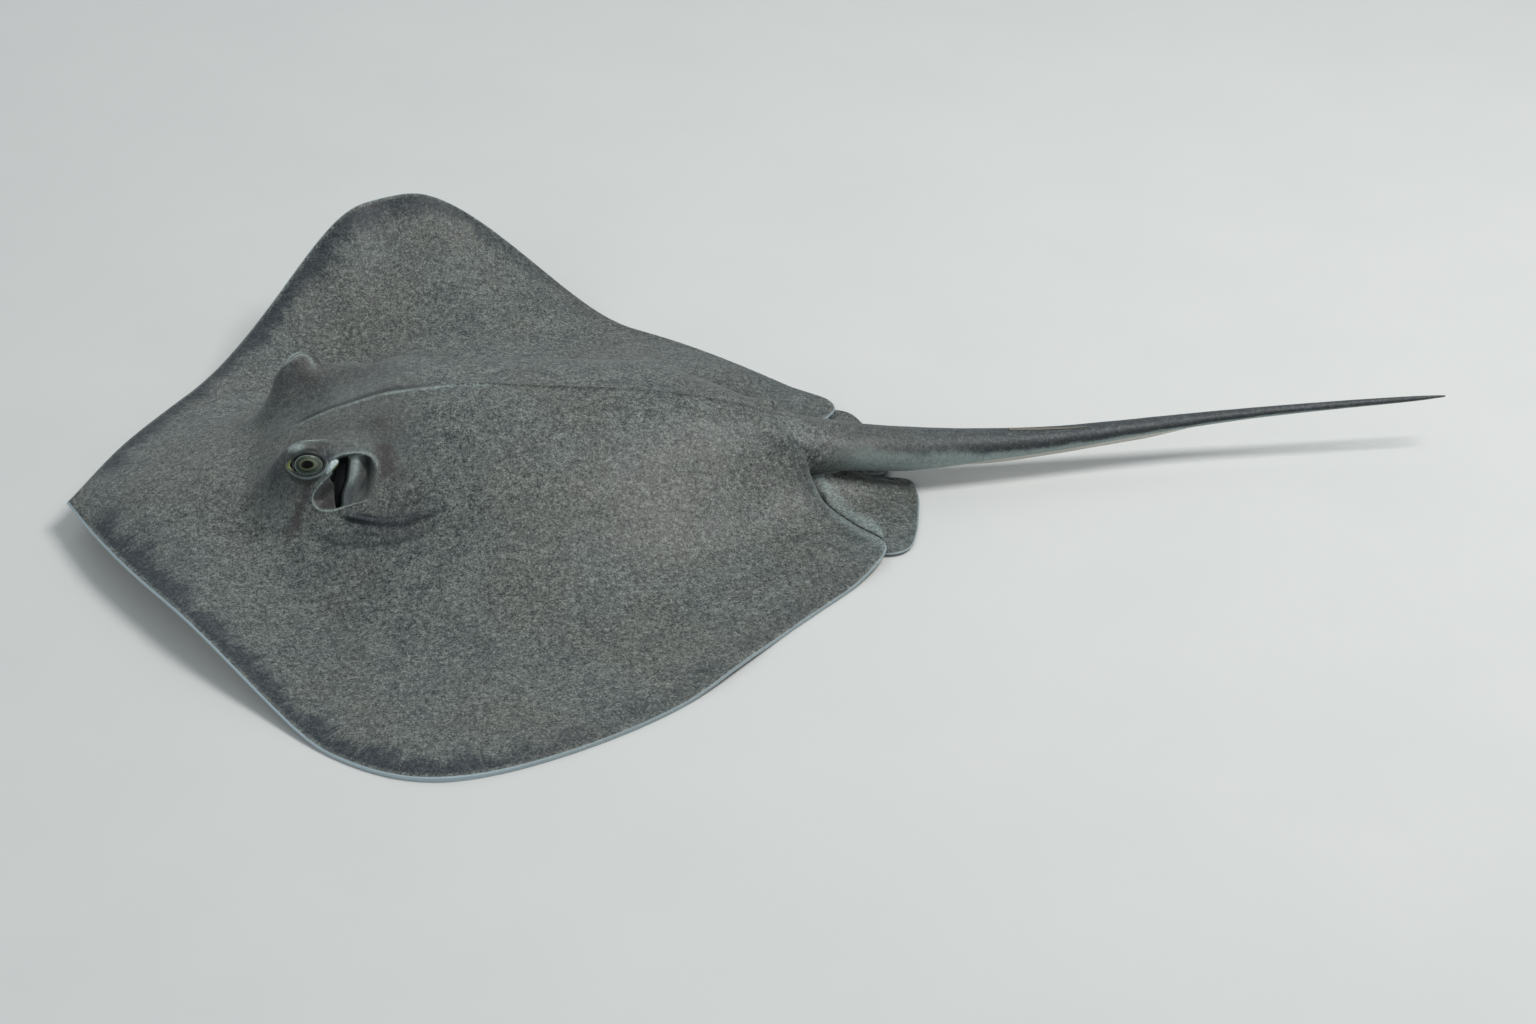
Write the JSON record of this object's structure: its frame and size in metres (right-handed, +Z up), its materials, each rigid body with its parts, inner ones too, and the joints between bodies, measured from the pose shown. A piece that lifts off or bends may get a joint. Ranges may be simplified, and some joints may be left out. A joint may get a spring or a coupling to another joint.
{
  "type": "southern stingray model",
  "caption": "Life-size still model of a southern stingray lying on its belly, the right wing curled up and the tail straight behind.",
  "frame": {"origin": "on the flat of the belly, on the midline, 400 mm behind the snout tip, at floor level", "axes": "+X to the tail, +Y to the animal's right, +Z up from the floor"},
  "size_m": [1.338, 0.8824, 0.1323],
  "materials": {
    "skin": "wet-looking grey-brown skin with fine dark and pale speckles above, off-white below",
    "eye": "glossy eye with a grey-green ringed iris and a black pupil",
    "sting": "dull grey-bone dentine with fine lengthwise grooves"
  },
  "bodies": {
    "root": {"head": "skin", "trunk": "skin", "wing_left": "skin", "wing_right": "skin", "pelvic_fin_left": "skin", "pelvic_fin_right": "skin", "tail_base": "skin", "tail_middle": "skin", "tail_tip": "skin", "sting": "sting", "eye_left": "eye", "eye_right": "eye"}
  },
  "joints": []
}
